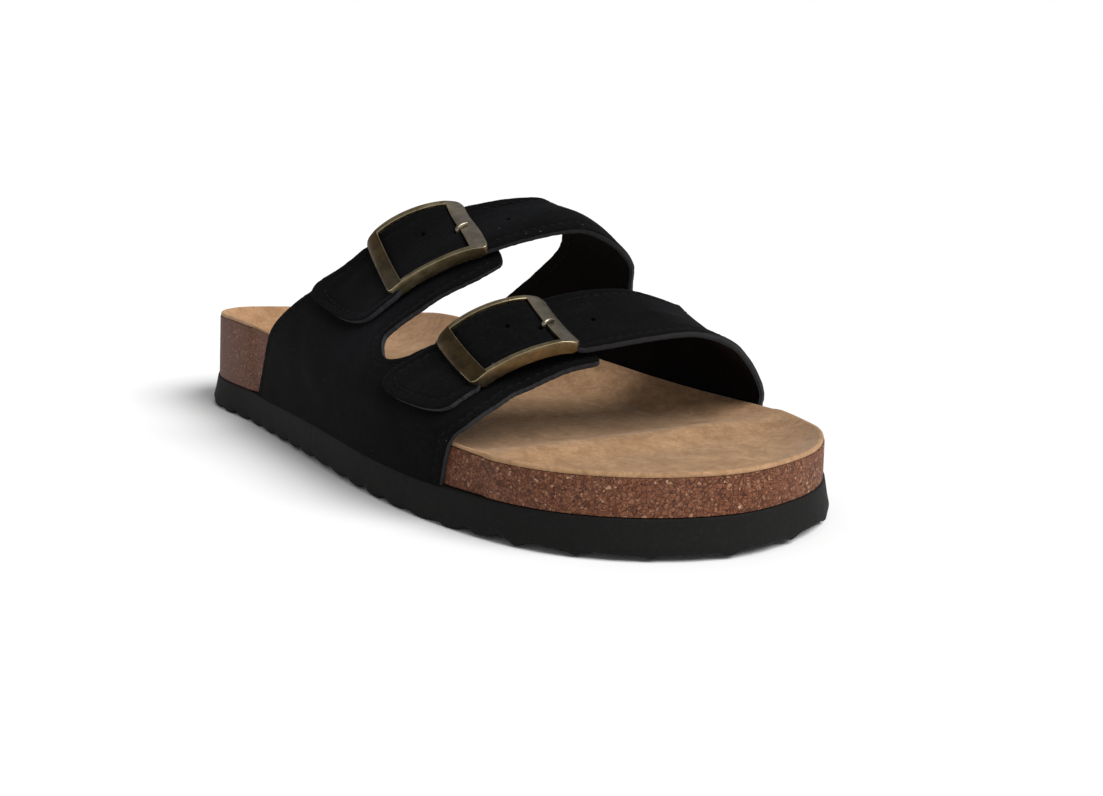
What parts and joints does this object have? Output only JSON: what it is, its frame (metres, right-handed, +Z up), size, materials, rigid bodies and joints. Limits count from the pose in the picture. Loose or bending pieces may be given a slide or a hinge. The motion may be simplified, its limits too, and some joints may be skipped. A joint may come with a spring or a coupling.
{
  "type": "sandal",
  "caption": "Open slip-on sandal for the right foot: moulded cork footbed on a black foam outsole, with suede straps that close through curved metal buckles on the outer side.",
  "frame": {"origin": "middle of the object's box on the floor plane that the sole stands on", "axes": "+X from the heel to the toe, +Y towards the inner (medial) side of the foot, +Z up"},
  "size_m": [0.2672, 0.1091, 0.083],
  "materials": {
    "outsole_foam": "matte black foam rubber",
    "cork": "pressed cork granules, lightly sealed",
    "insole_suede": "beige suede with a worn nap",
    "upper_suede": "black suede, stitched along its edges",
    "buckle_metal": "antique brass, worn bright on the edges"
  },
  "bodies": {
    "root": {"outsole": "outsole_foam", "cork_footbed": "cork", "insole": "insole_suede", "upper_medial": "upper_suede", "upper_lateral": "upper_suede", "buckle_frame_rear": "buckle_metal", "buckle_frame_front": "buckle_metal", "buckle_axle_rear": "buckle_metal", "buckle_axle_front": "buckle_metal", "buckle_prong_rear": "buckle_metal", "buckle_prong_front": "buckle_metal"}
  },
  "joints": []
}
